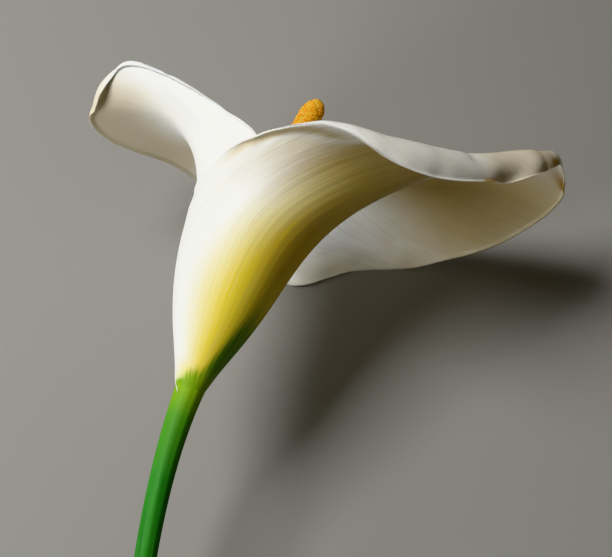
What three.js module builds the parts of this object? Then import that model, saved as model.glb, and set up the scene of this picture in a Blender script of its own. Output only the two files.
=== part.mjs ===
// An arum lily flower, cut from its plant and laid down on a table.
// Millimetres, +Z up. The flower points along +Y, and its stem runs back along -Y and down to the table.
import * as THREE from "three";

// Where the spathe's base meets the stem. The box round the whole flower is centred above the origin.
const BASE = new THREE.Vector3(-44, 21, 57.9);

// How the flower lies, in degrees: its axis turned from +Y towards +X, its axis lifted from the table,
// and the flower turned about that axis.
const HEADING = 17.6;
const RISE = 8.8;
const ROLL = 7.6;

// The spathe: one bract, rolled into a tube at its foot and flared open above it.
const WALL = 0.8;
const TUBE_TOP = 46;
const TUBE_BEND = 0.0000105;
const TUBE_FOOT_RADIUS = 4.4;
const TUBE_SWELL = 11.1;
const TUBE_SWELL_HEIGHT = 21.3;
const TUBE_SWELL_POWER = 1.6;
const TUBE_TAPER = 0.06;

// Half the room that the overlapping margins leave each other, at the foot and from LAYER_HEIGHT up.
const LAYER_AT_FOOT = 0.85;
const LAYER_ABOVE = 1.6;
const LAYER_HEIGHT = 40;

// Veins of the spathe, in order round it from its outer margin to its inner one. Turns and flares are
// in degrees. A turn of 0 is the side of the tip, -90 the near side and 90 the side that lies down. A
// reach is measured from the tube's axis, a height along it, and a flare from it outwards. Each row:
// turn at the foot; turn, reach, height and flare half-way; turn, reach, height and flare at the rim;
// angle and radius of the roll past the rim.
const VEINS = [
  [-184, [-181, 20.8, 54.6, 12], [-179, 21.2, 60.4, 14], [0, 3]],
  [-168, [-154.3, 21.1, 57.2, 12], [-144.3, 22.7, 64.6, 18], [0, 3]],
  [-150, [-130.3, 21.3, 62.3, 17], [-118.4, 25.9, 73.8, 32], [50, 2]],
  [-132, [-107.2, 21.7, 67.1, 22], [-90.9, 31, 81.6, 44], [100, 2]],
  [-116, [-88, 23, 70, 29], [-71.3, 37, 86.3, 55], [120, 3]],
  [-100, [-70, 24.5, 72, 36], [-53.5, 38.9, 87.6, 65], [138, 5.6]],
  [-82, [-52, 26.5, 74, 41], [-37, 43.6, 91.3, 72], [134, 7.6]],
  [-64, [-35, 29.5, 76, 45], [-21.9, 52.2, 95.6, 80], [120, 6.8]],
  [-46, [-20, 33, 78, 48], [-10.7, 61.9, 102.8, 80], [112, 6]],
  [-28, [-8, 36, 81, 48], [-2.4, 70.4, 111.5, 80], [106, 5]],
  [-10, [1, 38.5, 85, 47], [4.1, 76.1, 114.6, 85], [100, 2.4]],
  [8, [11, 39.5, 90, 51], [12.3, 86.8, 108.7, 100], [60, 1.2]],
  [24, [23, 40, 95, 63], [21.1, 90.1, 103, 125], [20, 2]],
  [38, [35, 40, 97, 75], [31, 89, 93, 135], [10, 3]],
  [51, [47, 40, 97, 85], [41, 86, 86, 140], [20, 4]],
  [63, [58, 40, 96, 91], [50, 81, 81, 140], [40, 6]],
  [76, [71, 40, 93, 94], [62.3, 71.5, 75.1, 145], [50, 6]],
  [90, [86, 41, 90, 96], [76, 66.3, 61.9, 150], [50, 6]],
  [106, [103, 42, 89, 93], [101, 72, 74, 140], [20, 4]],
  [122, [119, 41, 88, 86], [116.6, 67.5, 85.3, 135], [10, 4]],
  [138, [136, 40, 87, 79], [134, 64.8, 84, 130], [10, 3]],
  [152, [152, 40.5, 86, 73], [151, 67.5, 80, 126], [10, 3]],
  [165, [163, 40.6, 86, 70], [162.3, 70.5, 82, 118], [60, 2.5]],
  [176, [172, 38, 86, 68], [168, 69.2, 88.8, 105], [150, 2.6]],
  [187, [180, 33.8, 86, 66], [173, 67.1, 97, 88], [130, 1.8]],
  [198, [188, 28.2, 83, 60], [177, 60.2, 99, 70], [100, 1.6]],
  [209, [197, 21.5, 78, 49], [182.2, 45.5, 95.6, 55], [90, 1.2]],
  [221, [211, 17, 72, 28], [195.8, 26.8, 88.8, 40], [70, 1.2]],
  [234, [232, 16, 66, 6], [231.6, 17, 80.5, 25], [30, 1.2]],
  [248, [256, 15.2, 60, -2], [268, 14.6, 69, 10], [0, 3]],
];

// Steps between two veins, and up a vein: through the tube, to half-way, to the rim, round the roll.
const STEPS_BETWEEN_VEINS = 3;
const TUBE_STEPS = 6;
const LOWER_STEPS = 5;
const UPPER_STEPS = 5;
const ROLL_STEPS = 4;
const RIM_ROW = TUBE_STEPS + LOWER_STEPS + UPPER_STEPS;
const LEAST_ROLL_LENGTH = 2;

// Rows that are relaxed, from the upper part of the tube to the rim, and how often.
const FIRST_RELAXED_ROW = 3;
const RELAXATIONS = 3;

// The stem, in the same frame as BASE: it leaves the base along STEM_BEND, and its cut end is STEM_END.
const STEM_FOOT_RADIUS = 3.4;
const STEM_SHOULDER_RADIUS = 4.9;
const STEM_TAPER_LENGTH = 25;
const STEM_BEND = new THREE.Vector3(-21, -54, -7);
const STEM_END = new THREE.Vector2(-21, -150);
const STEM_SIDES = 24;
const STEM_STEPS = 18;
const SPIGOT_RADIUS = 2.8;
const SPIGOT_LENGTH = 6;

// The spadix: its two zones follow one slightly bent line up the funnel, with rows of florets on them.
const GAP = 0.3;
const SPADIX_BEND = 0.0009;
const OVARY_ZONE = { from: SPIGOT_LENGTH + GAP, to: 27.3, radius: 3.4, florets: 7, pitch: 2.6, relief: 0.4, cap: 0.8 };
const POLLEN_ZONE = { from: 27.6, to: 104, radius: 3.7, florets: 9, pitch: 2.4, relief: 0.45, cap: 6 };
const SAMPLES_PER_FLORET = 4;
const CAP_ROWS = 4;

const UP = new THREE.Vector3(0, 0, 1);

// Frames: the flower's own has its foot at the origin and its axis along +Z.
const lily = new THREE.Group();
const leaning = new THREE.Group();
leaning.position.copy(BASE);
leaning.rotation.set(THREE.MathUtils.degToRad(RISE - 90), 0, THREE.MathUtils.degToRad(-HEADING), "ZXY");
const flower = new THREE.Group();
flower.rotation.z = THREE.MathUtils.degToRad(ROLL);
lily.add(leaning);
leaning.add(flower);
lily.updateMatrixWorld(true);

function outward(turn) {
  const angle = THREE.MathUtils.degToRad(turn);
  return new THREE.Vector3(Math.cos(angle), Math.sin(angle), 0);
}

function flared(turn, flare) {
  const angle = THREE.MathUtils.degToRad(flare);
  return outward(turn).multiplyScalar(Math.sin(angle)).addScaledVector(UP, Math.cos(angle));
}

// The lines that the tube and the spadix follow, both bent a little towards the side of the tip.
function tubeLine(height) {
  return new THREE.Vector3(TUBE_BEND * height ** 3, 0, height);
}

function spadixLine(height) {
  return new THREE.Vector3(SPADIX_BEND * height ** 2, 0, height);
}

// A smooth run of rows of numbers through the given rows, with `steps` steps from one to the next.
function smoothRows(rows, steps) {
  const mirrored = (end, next) => end.map((value, k) => 2 * value - next[k]);
  const all = [mirrored(rows[0], rows[1]), ...rows, mirrored(rows.at(-1), rows.at(-2))];
  const result = [];
  for (let first = 0; first < rows.length - 1; first += 1) {
    for (let step = 0; step < steps; step += 1) {
      const t = step / steps;
      const blend = (_, k) => {
        const [a, b, c, d] = all.slice(first, first + 4).map((row) => row[k]);
        const bends = (2 * a - 5 * b + 4 * c - d) * t * t + (3 * b - a - 3 * c + d) * t ** 3;
        return 0.5 * (2 * b + (c - a) * t + bends);
      };
      result.push(rows[0].map(blend));
    }
  }
  result.push(rows.at(-1));
  return result;
}

// Points from one end towards the other, without the last, leaving and arriving along the given directions.
function hermite(start, leaving, end, arriving, steps) {
  const reach = start.distanceTo(end);
  return Array.from({ length: steps }, (_, step) => {
    const t = step / steps;
    return new THREE.Vector3()
      .addScaledVector(start, 2 * t ** 3 - 3 * t ** 2 + 1)
      .addScaledVector(leaving, (t ** 3 - 2 * t ** 2 + t) * reach)
      .addScaledVector(end, 3 * t ** 2 - 2 * t ** 3)
      .addScaledVector(arriving, (t ** 3 - t ** 2) * reach);
  });
}

// The tube's wall. `layer` runs from -1 at the outer margin to 1 at the inner one.
function tubePoint(turn, height, layer) {
  const swell = 1 - Math.exp(-((Math.max(height, 0) / TUBE_SWELL_HEIGHT) ** TUBE_SWELL_POWER));
  const room = LAYER_AT_FOOT + (LAYER_ABOVE - LAYER_AT_FOOT) * Math.min(1, height / LAYER_HEIGHT);
  const radius = TUBE_FOOT_RADIUS + TUBE_SWELL * swell + TUBE_TAPER * height - room * layer;
  return tubeLine(height).addScaledVector(outward(turn), radius);
}

// The points of one vein, from the spathe's foot to the end of its roll.
function veinPoints(vein, layer) {
  const [foot, midTurn, midReach, midHeight, midFlare, ...upper] = vein;
  const [rimTurn, rimReach, rimHeight, rimFlare, rollAngle, rollRadius] = upper;
  const points = [];
  for (let step = 0; step < TUBE_STEPS; step += 1) {
    points.push(tubePoint(foot, (TUBE_TOP * step) / TUBE_STEPS, layer));
  }
  const throat = tubePoint(foot, TUBE_TOP, layer);
  const throatAbove = tubePoint(foot, TUBE_TOP + 0.5, layer);
  const leaving = throatAbove.sub(tubePoint(foot, TUBE_TOP - 0.5, layer)).normalize();
  const middle = tubeLine(midHeight).addScaledVector(outward(midTurn), midReach);
  const rim = tubeLine(rimHeight).addScaledVector(outward(rimTurn), rimReach);
  const sideways = outward(midTurn + 90);
  const drift = rim.clone().sub(throat).normalize().dot(sideways);
  const passing = flared(midTurn, midFlare).addScaledVector(sideways, drift).normalize();
  points.push(...hermite(throat, leaving, middle, passing, LOWER_STEPS));
  points.push(...hermite(middle, passing, rim, flared(rimTurn, rimFlare), UPPER_STEPS));
  points.push(...rollPoints(rim, rimTurn, rimFlare, rollAngle, rollRadius));
  return points;
}

// The margin's roll: an arc that goes on from the rim's flare, or a short straight end where there is none.
function rollPoints(rim, turn, flare, angle, radius) {
  const arc = Math.max(THREE.MathUtils.degToRad(angle), 0) * radius;
  const points = [rim];
  for (let step = 1; step <= ROLL_STEPS; step += 1) {
    const stretch = Math.max(arc, LEAST_ROLL_LENGTH) / ROLL_STEPS;
    const bend = Math.max(angle, 0) * ((step - 0.5) / ROLL_STEPS);
    points.push(points.at(-1).clone().addScaledVector(flared(turn, flare + bend), stretch));
  }
  return points;
}

function relaxed(grid, isMoved, neighbours) {
  const mean = (column, row) => {
    const [a, b] = neighbours(column, row);
    return grid[column][row].clone().multiplyScalar(2).add(a).add(b).multiplyScalar(0.25);
  };
  return grid.map((line, column) =>
    line.map((point, row) => (isMoved(column, row) ? mean(column, row) : point)));
}

// The spathe's middle surface, as a grid of points: columns round it, rows from the foot to the margin.
function spatheGrid() {
  const veins = smoothRows(VEINS.map((vein) => vein.flat()), STEPS_BETWEEN_VEINS);
  let grid = veins.map((vein, k) => veinPoints(vein, (2 * k) / (veins.length - 1) - 1));
  const inside = (column) => column > 0 && column < grid.length - 1;
  const upTheVein = (column, row) => [grid[column][row - 1], grid[column][row + 1]];
  const acrossVeins = (column, row) => [grid[column - 1][row], grid[column + 1][row]];
  const open = (row) => row >= FIRST_RELAXED_ROW && row < RIM_ROW;
  for (let pass = 0; pass < RELAXATIONS; pass += 1) {
    grid = relaxed(grid, (column, row) => open(row), upTheVein);
  }
  grid = relaxed(grid, (column, row) => inside(column) && row >= FIRST_RELAXED_ROW, acrossVeins);
  for (let pass = 1; pass < RELAXATIONS; pass += 1) {
    grid = relaxed(grid, (column, row) => inside(column) && open(row), acrossVeins);
  }
  return grid;
}

function gridNormal(grid, column, row) {
  const columns = grid.length - 1;
  const rows = grid[0].length - 1;
  const across = grid[Math.min(column + 1, columns)][row].clone().sub(grid[Math.max(column - 1, 0)][row]);
  const along = grid[column][Math.min(row + 1, rows)].clone().sub(grid[column][Math.max(row - 1, 0)]);
  return across.cross(along).normalize();
}

// Points of the two faces of the wall that would sink into the table are raised onto it together.
function raiseOntoTable(faces) {
  const lowest = Math.min(...faces.map((point) => flower.localToWorld(point.clone()).z));
  if (lowest >= 0) return faces;
  return faces.map((point) => {
    const place = flower.localToWorld(point.clone());
    place.z -= lowest;
    return flower.worldToLocal(place);
  });
}

// A solid from its points and from triangles that each name three of them.
function solidFromTriangles(points, triangles) {
  const geometry = new THREE.BufferGeometry();
  geometry.setAttribute("position", new THREE.Float32BufferAttribute(points.flatMap((p) => p.toArray()), 3));
  geometry.setIndex(triangles.flat());
  geometry.computeVertexNormals();
  return geometry;
}

// The wall: the outer and the inner face, split into triangles alike, with a strip round all four edges.
function spatheGeometry() {
  const grid = spatheGrid();
  const columns = grid.length;
  const rows = grid[0].length;
  const points = [];
  grid.forEach((line, column) => line.forEach((point, row) => {
    const normal = gridNormal(grid, column, row);
    const outer = point.clone().addScaledVector(normal, WALL / 2);
    const inner = point.clone().addScaledVector(normal, -WALL / 2);
    points.push(...raiseOntoTable([outer, inner]));
  }));
  const outerAt = (column, row) => 2 * (column * rows + row);
  const triangles = [];
  const edge = (a, b) => triangles.push([a, b, b + 1], [a, b + 1, a + 1]);
  for (let column = 0; column < columns - 1; column += 1) {
    for (let row = 0; row < rows - 1; row += 1) {
      const [a, b] = [outerAt(column, row), outerAt(column + 1, row)];
      const [d, c] = [outerAt(column, row + 1), outerAt(column + 1, row + 1)];
      triangles.push([a, b, c], [a, c, d], [a + 1, c + 1, b + 1], [a + 1, d + 1, c + 1]);
    }
    edge(outerAt(column + 1, 0), outerAt(column, 0));
    edge(outerAt(column, rows - 1), outerAt(column + 1, rows - 1));
  }
  for (let row = 0; row < rows - 1; row += 1) {
    edge(outerAt(0, row), outerAt(0, row + 1));
    edge(outerAt(columns - 1, row + 1), outerAt(columns - 1, row));
  }
  return solidFromTriangles(points, triangles);
}

// A closed solid lofted through rings of points, all with the same number, with a point at each end.
function loftGeometry(rings, startPoint, endPoint) {
  const sides = rings[0].length;
  const points = [...rings.flat(), startPoint, endPoint];
  const start = points.length - 2;
  const end = points.length - 1;
  const last = (rings.length - 1) * sides;
  const triangles = [];
  for (let side = 0; side < sides; side += 1) {
    const next = (side + 1) % sides;
    for (let ring = 0; ring < rings.length - 1; ring += 1) {
      const [a, b] = [ring * sides + side, ring * sides + next];
      triangles.push([a, b, b + sides], [a, b + sides, a + sides]);
    }
    triangles.push([start, next, side], [end, last + side, last + next]);
  }
  return solidFromTriangles(points, triangles);
}

// A ring of points round a line, with a radius for each side.
function ringPoints(centre, direction, sides, radiusAt) {
  const x = new THREE.Vector3(1, 0, 0).addScaledVector(direction, -direction.x).normalize();
  const y = new THREE.Vector3().crossVectors(direction, x);
  return Array.from({ length: sides }, (_, side) => {
    const angle = (2 * Math.PI * side) / sides;
    const spoke = x.clone().multiplyScalar(Math.cos(angle)).addScaledVector(y, Math.sin(angle));
    return centre.clone().addScaledVector(spoke, radiusAt(angle));
  });
}

// The stem runs from its cut end, whose lower edge is on the table, up to the spigot inside the spathe.
function stemGeometry() {
  const run = STEM_BEND.y - STEM_END.y;
  const fall = BASE.z + STEM_BEND.z - STEM_FOOT_RADIUS;
  const endHeight = STEM_FOOT_RADIUS * (run / Math.hypot(run, fall)) - BASE.z;
  const end = new THREE.Vector3(STEM_END.x, STEM_END.y, endHeight);
  const line = new THREE.QuadraticBezierCurve3(new THREE.Vector3(), STEM_BEND, end);
  const swell = STEM_SHOULDER_RADIUS - STEM_FOOT_RADIUS;
  const rings = [];
  for (let step = STEM_STEPS; step >= 0; step -= 1) {
    const t = (step / STEM_STEPS) ** 1.3;
    const centre = line.getPoint(t);
    const radius = STEM_FOOT_RADIUS + swell * Math.exp(-centre.length() / STEM_TAPER_LENGTH);
    const up = line.getTangent(t).negate();
    if (step === 0) centre.addScaledVector(up, -GAP);
    rings.push(ringPoints(centre, up, STEM_SIDES, () => radius));
  }
  const axis = flower.localToWorld(UP.clone()).sub(BASE);
  for (const height of [-GAP, SPIGOT_LENGTH]) {
    rings.push(ringPoints(axis.clone().multiplyScalar(height), axis, STEM_SIDES, () => SPIGOT_RADIUS));
  }
  return loftGeometry(rings, end, axis.clone().multiplyScalar(SPIGOT_LENGTH));
}

// One zone of the spadix. Its florets stand out in rows, each row turned by half a floret.
function spadixGeometry(zone) {
  const sides = zone.florets * SAMPLES_PER_FLORET;
  const bodyEnd = zone.to - zone.cap;
  const floretRows = Math.round((bodyEnd - zone.from) / zone.pitch);
  const pitch = (bodyEnd - zone.from) / floretRows;
  const rings = [];
  const addRing = (height, radius, relief, rowTurn) => {
    const slope = new THREE.Vector3(2 * SPADIX_BEND * height, 0, 1).normalize();
    const stand = (angle) => radius + relief * (0.5 + 0.5 * Math.cos(zone.florets * angle + rowTurn));
    rings.push(ringPoints(spadixLine(height), slope, sides, stand));
  };
  for (let halfRow = 0; halfRow <= 2 * floretRows; halfRow += 1) {
    const relief = halfRow % 2 === 1 ? zone.relief : 0;
    addRing(zone.from + (pitch * halfRow) / 2, zone.radius, relief, Math.PI * ((halfRow - 1) / 2));
  }
  for (let row = 1; row < CAP_ROWS; row += 1) {
    const angle = (Math.PI / 2) * (row / CAP_ROWS);
    const relief = row % 2 === 1 ? zone.relief : 0;
    addRing(bodyEnd + zone.cap * Math.sin(angle), zone.radius * Math.cos(angle), relief, Math.PI * (row / 2));
  }
  return loftGeometry(rings, spadixLine(zone.from), spadixLine(zone.to));
}

function addPiece(parent, name, geometry, color, roughness) {
  const material = new THREE.MeshStandardMaterial({ color, roughness, metalness: 0 });
  const piece = new THREE.Mesh(geometry, material);
  piece.name = name;
  parent.add(piece);
  return piece;
}

addPiece(lily, "stem", stemGeometry(), "#4c8f33", 0.5).position.copy(BASE);
addPiece(flower, "spathe", spatheGeometry(), "#efe9d8", 0.55);
addPiece(flower, "spadix_ovary_zone", spadixGeometry(OVARY_ZONE), "#a9b765", 0.6);
addPiece(flower, "spadix_pollen_zone", spadixGeometry(POLLEN_ZONE), "#f0a81c", 0.8);

export default lily;
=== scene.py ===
# An arum lily flower, cut from its plant and laid on a pale table. Lengths are in millimetres until a
# mesh is made, which is in metres.
import math

import bpy
import numpy as np
from mathutils import Matrix, Vector


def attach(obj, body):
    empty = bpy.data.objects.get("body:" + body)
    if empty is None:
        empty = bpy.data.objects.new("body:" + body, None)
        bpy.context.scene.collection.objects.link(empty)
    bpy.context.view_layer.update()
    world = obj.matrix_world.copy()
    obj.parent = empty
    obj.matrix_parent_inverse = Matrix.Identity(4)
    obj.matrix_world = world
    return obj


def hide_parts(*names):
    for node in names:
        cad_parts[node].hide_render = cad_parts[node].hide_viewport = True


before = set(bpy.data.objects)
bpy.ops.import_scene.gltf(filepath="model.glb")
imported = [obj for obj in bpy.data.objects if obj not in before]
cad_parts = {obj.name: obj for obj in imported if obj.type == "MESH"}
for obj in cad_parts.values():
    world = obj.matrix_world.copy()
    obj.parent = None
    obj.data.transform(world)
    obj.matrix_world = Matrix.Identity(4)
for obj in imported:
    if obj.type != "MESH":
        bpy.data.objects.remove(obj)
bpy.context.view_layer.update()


# Spathe
# One leaf-like bract, about as thick as card, that grew rolled into a funnel round the spadix and opened
# into a wavy trumpet with a point. It is waxy plant tissue that lets light through, and it grows out of
# the top of the stem.
WALL = 0.8
MARGIN_WALL = 0.5
TUBE_TOP = 46
TUBE_BEND = 0.0000105
TUBE_FOOT_RADIUS = 4.4
TUBE_SWELL = 11.1
TUBE_SWELL_HEIGHT = 21.3
TUBE_SWELL_POWER = 1.6
TUBE_TAPER = 0.06

# Half the room that its overlapping margins leave each other, at the foot and from LAYER_HEIGHT up.
LAYER_AT_FOOT = 0.85
LAYER_ABOVE = 1.6
LAYER_HEIGHT = 40

# How it lies. The stem meets it at BASE. From there its axis points away over the table, a little to the
# right and a little upwards, and it is turned a little about that axis.
BASE = (-44, 21, 57.9)
HEADING = 17.6
RISE = 8.8
ROLL = 7.6
MM = 0.001

heading = Matrix.Rotation(math.radians(-HEADING), 4, "Z")
rise = Matrix.Rotation(math.radians(RISE - 90), 4, "X")
roll = Matrix.Rotation(math.radians(ROLL), 4, "Z")
TO_FLOWER = np.array((heading @ rise @ roll).to_3x3())

# Its veins, in order round it, from the outer margin to the inner one. Each row: turn at the foot; turn,
# reach, height and flare half-way; turn, reach, height and flare at the rim; angle and radius of the roll.
VEINS = np.array([
    [-184, -181, 20.8, 54.6, 12, -179, 21.2, 60.4, 14, 0, 3],
    [-168, -154.3, 21.1, 57.2, 12, -144.3, 22.7, 64.6, 18, 0, 3],
    [-150, -130.3, 21.3, 62.3, 17, -118.4, 25.9, 73.8, 32, 50, 2],
    [-132, -107.2, 21.7, 67.1, 22, -90.9, 31, 81.6, 44, 100, 2],
    [-116, -88, 23, 70, 29, -71.3, 37, 86.3, 55, 120, 3],
    [-100, -70, 24.5, 72, 36, -53.5, 38.9, 87.6, 65, 138, 5.6],
    [-82, -52, 26.5, 74, 41, -37, 43.6, 91.3, 72, 134, 7.6],
    [-64, -35, 29.5, 76, 45, -21.9, 52.2, 95.6, 80, 120, 6.8],
    [-46, -20, 33, 78, 48, -10.7, 61.9, 102.8, 80, 112, 6],
    [-28, -8, 36, 81, 48, -2.4, 70.4, 111.5, 80, 106, 5],
    [-10, 1, 38.5, 85, 47, 4.1, 76.1, 114.6, 85, 100, 2.4],
    [8, 11, 39.5, 90, 51, 12.3, 86.8, 108.7, 100, 60, 1.2],
    [24, 23, 40, 95, 63, 21.1, 90.1, 103, 125, 20, 2],
    [38, 35, 40, 97, 75, 31, 89, 93, 135, 10, 3],
    [51, 47, 40, 97, 85, 41, 86, 86, 140, 20, 4],
    [63, 58, 40, 96, 91, 50, 81, 81, 140, 40, 6],
    [76, 71, 40, 93, 94, 62.3, 71.5, 75.1, 145, 50, 6],
    [90, 86, 41, 90, 96, 76, 66.3, 61.9, 150, 50, 6],
    [106, 103, 42, 89, 93, 101, 72, 74, 140, 20, 4],
    [122, 119, 41, 88, 86, 116.6, 67.5, 85.3, 135, 10, 4],
    [138, 136, 40, 87, 79, 134, 64.8, 84, 130, 10, 3],
    [152, 152, 40.5, 86, 73, 151, 67.5, 80, 126, 10, 3],
    [165, 163, 40.6, 86, 70, 162.3, 70.5, 82, 118, 60, 2.5],
    [176, 172, 38, 86, 68, 168, 69.2, 88.8, 105, 150, 2.6],
    [187, 180, 33.8, 86, 66, 173, 67.1, 97, 88, 130, 1.8],
    [198, 188, 28.2, 83, 60, 177, 60.2, 99, 70, 100, 1.6],
    [209, 197, 21.5, 78, 49, 182.2, 45.5, 95.6, 55, 90, 1.2],
    [221, 211, 17, 72, 28, 195.8, 26.8, 88.8, 40, 70, 1.2],
    [234, 232, 16, 66, 6, 231.6, 17, 80.5, 25, 30, 1.2],
    [248, 256, 15.2, 60, -2, 268, 14.6, 69, 10, 0, 3],
])
STEPS_BETWEEN_VEINS = 3
TUBE_STEPS = 6
LOWER_STEPS = 5
UPPER_STEPS = 5
ROLL_STEPS = 4
RIM_ROW = TUBE_STEPS + LOWER_STEPS + UPPER_STEPS
LEAST_ROLL_LENGTH = 2
FIRST_RELAXED_ROW = 3
RELAXATIONS = 3

# Finer steps of the seen surface, round the spathe and up it, for each step above.
FINER_ACROSS = 5
FINER_ALONG = 4
FINE_RELAXATIONS = 10


def unit(vectors):
    return vectors / np.linalg.norm(vectors, axis=-1, keepdims=True)


def through(rows, steps):
    """A smooth run through rows of numbers or points, with `steps` steps from each to the next."""
    ends = np.concatenate([2 * rows[:1] - rows[1:2], rows, 2 * rows[-1:] - rows[-2:-1]])
    a, b, c, d = (ends[k:len(ends) - 3 + k, None] for k in range(4))
    t = (np.arange(steps) / steps).reshape(-1, *[1] * (rows.ndim - 1))
    run = 0.5 * (2 * b + (c - a) * t + (2 * a - 5 * b + 4 * c - d) * t**2 + (3 * b - a - 3 * c + d) * t**3)
    return np.concatenate([run.reshape(-1, *rows.shape[1:]), rows[-1:]])


def outward(turns):
    angles = np.radians(turns)
    return np.stack([np.cos(angles), np.sin(angles), 0 * angles], -1)


def flared(turns, flares):
    angles = np.radians(flares)[:, None]
    return outward(turns) * np.sin(angles) + np.array([0, 0, 1]) * np.cos(angles)


def tube_line(heights):
    return np.stack([TUBE_BEND * heights**3, 0 * heights, heights], -1)


def hermite(start, leaving, end, arriving, steps):
    """Points from start towards end, without the end, that leave and arrive along the given directions."""
    reach = np.linalg.norm(end - start, axis=-1, keepdims=True)
    return [
        start * (2 * t**3 - 3 * t**2 + 1) + leaving * reach * (t**3 - 2 * t**2 + t)
        + end * (3 * t**2 - 2 * t**3) + arriving * reach * (t**3 - t**2)
        for t in np.arange(steps) / steps
    ]


def tube_points(turns, height, layers):
    """The tube's wall at one height. A layer runs from -1 at the outer margin to 1 at the inner one."""
    swell = 1 - math.exp(-((height / TUBE_SWELL_HEIGHT) ** TUBE_SWELL_POWER))
    room = LAYER_AT_FOOT + (LAYER_ABOVE - LAYER_AT_FOOT) * min(1, height / LAYER_HEIGHT)
    radii = TUBE_FOOT_RADIUS + TUBE_SWELL * swell + TUBE_TAPER * height - room * layers
    return tube_line(np.array([height])) + outward(turns) * radii[:, None]


def vein_points(veins):
    """The spathe's middle surface: columns round it, rows from its foot to the end of its rolled margin."""
    foot, mid_turn, mid_reach, mid_height, mid_flare, *upper = veins.T
    rim_turn, rim_reach, rim_height, rim_flare, roll_angle, roll_radius = upper
    layers = np.linspace(-1, 1, len(veins))
    rows = [tube_points(foot, TUBE_TOP * step / TUBE_STEPS, layers) for step in range(TUBE_STEPS)]
    throat = tube_points(foot, TUBE_TOP, layers)
    leaving = unit(tube_points(foot, TUBE_TOP + 0.5, layers) - tube_points(foot, TUBE_TOP - 0.5, layers))
    middle = tube_line(mid_height) + outward(mid_turn) * mid_reach[:, None]
    rim = tube_line(rim_height) + outward(rim_turn) * rim_reach[:, None]
    sideways = outward(mid_turn + 90)
    drift = (unit(rim - throat) * sideways).sum(-1, keepdims=True)
    passing = unit(flared(mid_turn, mid_flare) + sideways * drift)
    rows += hermite(throat, leaving, middle, passing, LOWER_STEPS)
    rows += hermite(middle, passing, rim, flared(rim_turn, rim_flare), UPPER_STEPS)
    rows.append(rim)
    bend = np.maximum(roll_angle, 0)
    stretch = np.maximum(np.radians(bend) * roll_radius, LEAST_ROLL_LENGTH) / ROLL_STEPS
    for step in range(ROLL_STEPS):
        way = flared(rim_turn, rim_flare + bend * (step + 0.5) / ROLL_STEPS)
        rows.append(rows[-1] + way * stretch[:, None])
    return np.stack(rows, 1)


def relaxed(grid, axis, first, last):
    """Each point from first to last moved half-way to the mean of its neighbours along one axis."""
    result = np.moveaxis(grid.copy(), axis, 0)
    lines = np.moveaxis(grid, axis, 0)
    result[first:last] = (lines[first - 1:last - 1] + 2 * lines[first:last] + lines[first + 1:last + 1]) / 4
    return np.moveaxis(result, 0, axis)


veins = through(VEINS, STEPS_BETWEEN_VEINS)
grid = vein_points(veins)
for _ in range(RELAXATIONS):
    grid = relaxed(grid, 1, FIRST_RELAXED_ROW, RIM_ROW)
grid[:, FIRST_RELAXED_ROW:] = relaxed(grid[:, FIRST_RELAXED_ROW:], 0, 1, len(grid) - 1)
for _ in range(RELAXATIONS - 1):
    grid[:, FIRST_RELAXED_ROW:RIM_ROW] = relaxed(grid[:, FIRST_RELAXED_ROW:RIM_ROW], 0, 1, len(grid) - 1)

sheet = through(grid, FINER_ACROSS)
sheet = np.swapaxes(through(np.swapaxes(sheet, 0, 1), FINER_ALONG), 0, 1)
for _ in range(FINE_RELAXATIONS):
    sheet = relaxed(sheet, 1, 1, sheet.shape[1] - 1)
foot_turn = through(through(VEINS[:, :1], STEPS_BETWEEN_VEINS), FINER_ACROSS)
layer = np.linspace(-1, 1, len(sheet))[:, None]


# The line of the stem that its foot follows, from there to the stem's cut end, which touches the table.
STEM_FOOT_RADIUS = 3.4
STEM_SHOULDER_RADIUS = 4.9
STEM_TAPER_LENGTH = 25
STEM_BEND = (-21, -54, -7)
STEM_CUT = (-21, -150)
STEM_LENGTH = 165

run = STEM_BEND[1] - STEM_CUT[1]
fall = BASE[2] + STEM_BEND[2] - STEM_FOOT_RADIUS
STEM_END = (*STEM_CUT, STEM_FOOT_RADIUS * run / math.hypot(run, fall) - BASE[2])


def stem_line(t):
    """The stem's middle line from the spathe's foot, at 0, to its cut end, at 1, and its way up there."""
    centres = 2 * t * (1 - t) * np.array(STEM_BEND) + t**2 * np.array(STEM_END)
    ways = -unit((1 - 2 * t) * np.array(STEM_BEND) + t * np.array(STEM_END))
    return centres, ways


def stem_radius(centres):
    reach = np.linalg.norm(centres, axis=-1, keepdims=True)
    return STEM_FOOT_RADIUS + (STEM_SHOULDER_RADIUS - STEM_FOOT_RADIUS) * np.exp(-reach / STEM_TAPER_LENGTH)


def eased(values, start, end):
    """0 before start and 1 after end, with a soft step between them."""
    share = np.clip((values - start) / (end - start), 0, 1)
    return share * share * (3 - 2 * share)


# The foot runs down the stem as a thin sleeve that ends in it. The outer margin slants round to the
# near side there, and the inner layers stay inside the stem.
SLEEVE_LENGTH = 6.5
SLEEVE_STEPS = 8
SLEEVE_SLANT = 50
SLEEVE_END_DEPTH = 0.1
SLEEVE_LAYERS = 0.3
SLEEVE_SINK = 0.45
SLEEVE_POINT = 22
SMOOTHED_STEPS = 3 * SLEEVE_STEPS

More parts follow.
